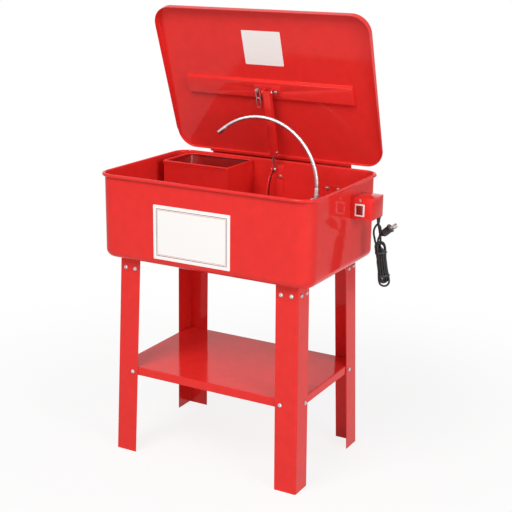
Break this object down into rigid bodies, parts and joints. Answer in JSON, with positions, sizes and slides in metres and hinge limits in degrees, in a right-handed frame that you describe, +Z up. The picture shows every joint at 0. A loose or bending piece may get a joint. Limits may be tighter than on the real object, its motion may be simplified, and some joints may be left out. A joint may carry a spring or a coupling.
{
  "type": "parts washer tank",
  "caption": "Bench-height parts washer: red sheet-steel tank on angle legs with a shelf, propped hinged lid, soak box, gooseneck spout, side switch box and hanked power cord.",
  "frame": {"origin": "on the ground under the middle of the object's box, without its cord", "axes": "+X to the right as seen from the front, +Y to the back, +Z up"},
  "size_m": [0.8258, 0.4887, 1.3435],
  "materials": {
    "red_enamel": "glossy baked enamel",
    "zinc_steel": "bright zinc plate",
    "bright_steel": "bright plated",
    "dark_plastic": "moulded, slightly rough",
    "grey_plastic": "moulded",
    "black_rubber": "smooth matt",
    "brass": "turned",
    "white_film": "satin film",
    "white_plastic": "moulded",
    "rocker_red": "polished"
  },
  "bodies": {
    "tank": {"tank_shell": "red_enamel", "leg_brackets": "red_enamel", "front_left_leg": "red_enamel", "front_right_leg": "red_enamel", "rear_left_leg": "red_enamel", "rear_right_leg": "red_enamel", "leg_bolts": "zinc_steel", "leg_nuts": "zinc_steel", "shelf": "red_enamel", "shelf_bolts": "zinc_steel", "shelf_nuts": "zinc_steel", "front_label": "white_film", "soak_box": "red_enamel", "soak_box_bolts": "zinc_steel", "drain_fitting": "zinc_steel", "drain_plug": "brass", "hinge_tank_leaf": "red_enamel", "hinge_pin": "zinc_steel", "arm_guide": "red_enamel", "guide_bolts": "zinc_steel", "spout_stay": "red_enamel", "stay_bolts": "zinc_steel", "riser_pipe": "bright_steel", "spout_fork": "bright_steel", "fold_pin": "zinc_steel", "pump_base": "dark_plastic", "pump_motor": "dark_plastic", "pump_cable": "black_rubber", "cable_grommet": "black_rubber", "switch_box": "red_enamel", "box_screws": "zinc_steel", "switch_plate": "red_enamel", "plate_screw": "zinc_steel", "switch_bezel": "white_plastic", "cord_gland": "black_rubber", "power_cord": "black_rubber", "cord_hank": "black_rubber", "hank_loop": "black_rubber", "cord_ties": "dark_plastic", "plug_lead": "black_rubber", "plug_body": "black_rubber", "plug_blades": "zinc_steel"},
    "lid": {"lid": "red_enamel", "lid_stiffener": "red_enamel", "lid_card": "white_film", "hinge_lid_leaf": "red_enamel", "arm_bracket": "red_enamel", "bracket_bolts": "zinc_steel", "pivot_pin": "zinc_steel"},
    "arm": {"lid_arm": "red_enamel", "arm_link": "zinc_steel", "link_bolt": "zinc_steel", "sliding_pin": "zinc_steel"},
    "fusible_link": {"fusible_link": "zinc_steel"},
    "spout": {"spout_elbow": "bright_steel", "gooseneck": "bright_steel", "spout_nozzle": "bright_steel"},
    "rocker": {"rocker": "rocker_red"},
    "impeller": {"pump_impeller": "grey_plastic"}
  },
  "joints": [
    {"name": "lid_hinge", "type": "hinge", "parent": "tank", "child": "lid", "pos_m": [-0.0281, 0.24115, 0.8812], "axis": [1, 0, 0], "range_deg": [0, 72]},
    {"name": "arm_pivot", "type": "hinge", "parent": "lid", "child": "arm", "pos_m": [-0.0211, 0.14107, 1.09472], "axis": [1, 0, 0], "range_deg": [-35.74, 0]},
    {"name": "spout_fold", "type": "hinge", "parent": "tank", "child": "spout", "pos_m": [0.1719, 0.10115, 0.79], "axis": [1, 0, 0], "range_deg": [0, 90]},
    {"name": "fusible_link_swing", "type": "hinge", "parent": "lid", "child": "fusible_link", "pos_m": [-0.0611, 0.15277, 1.09852], "axis": [0, 0.9511, 0.309], "range_deg": [-15, 15]},
    {"name": "rocker_tilt", "type": "hinge", "parent": "tank", "child": "rocker", "pos_m": [0.3486, 0.02195, 0.802], "axis": [1, 0, 0], "range_deg": [-14, 0]},
    {"name": "impeller_spin", "type": "hinge", "parent": "tank", "child": "impeller", "pos_m": [0.2339, 0.08615, 0.6345], "axis": [0, 0, 1], "continuous": true}
  ],
  "couplings": [
    {"joint": "arm_pivot", "follows": "lid_hinge", "ratio": -0.49631},
    {"joint": "spout_fold", "follows": "lid_hinge", "ratio": 1.25}
  ]
}
